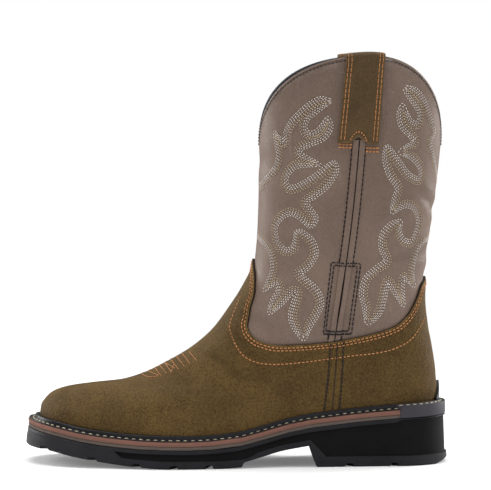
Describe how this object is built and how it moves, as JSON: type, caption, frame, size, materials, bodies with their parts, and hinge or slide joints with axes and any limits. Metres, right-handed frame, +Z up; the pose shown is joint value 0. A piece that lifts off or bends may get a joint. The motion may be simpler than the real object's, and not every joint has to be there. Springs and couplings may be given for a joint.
{
  "type": "western work boot",
  "caption": "Left pull-on western work boot: hollow leather upper with a tall scalloped shaft, on a welted rubber sole with a heel",
  "frame": {"origin": "middle of the boot's box on the ground it stands on", "axes": "+Z up, toe towards -X, outer side of the left foot towards -Y"},
  "size_m": [0.312, 0.1147, 0.3024],
  "materials": {
    "oiled_brown_leather": "oiled pull-up leather, matt",
    "brown_strap_leather": "oiled leather, matt",
    "taupe_leather": "smooth taupe leather, satin",
    "black_rubber": "moulded rubber, semi-matt",
    "slate_rubber": "moulded rubber, semi-matt",
    "rust_midsole": "matt rust-brown layer",
    "grey_midsole": "matt tan-grey layer",
    "dark_binding": "dark edge binding",
    "insole_leather": "natural leather, matt"
  },
  "bodies": {
    "root": {"outsole": "black_rubber", "midsole_base": "grey_midsole", "midsole": "rust_midsole", "welt": "black_rubber", "heel_rand": "slate_rubber", "insole": "insole_leather", "upper": "taupe_leather", "vamp": "oiled_brown_leather", "counter": "oiled_brown_leather", "spur_ledge": "black_rubber", "side_seam_outer": "taupe_leather", "side_seam_inner": "taupe_leather", "pull_strap_outer": "brown_strap_leather", "pull_strap_inner": "brown_strap_leather", "collar_binding": "dark_binding"}
  },
  "joints": []
}
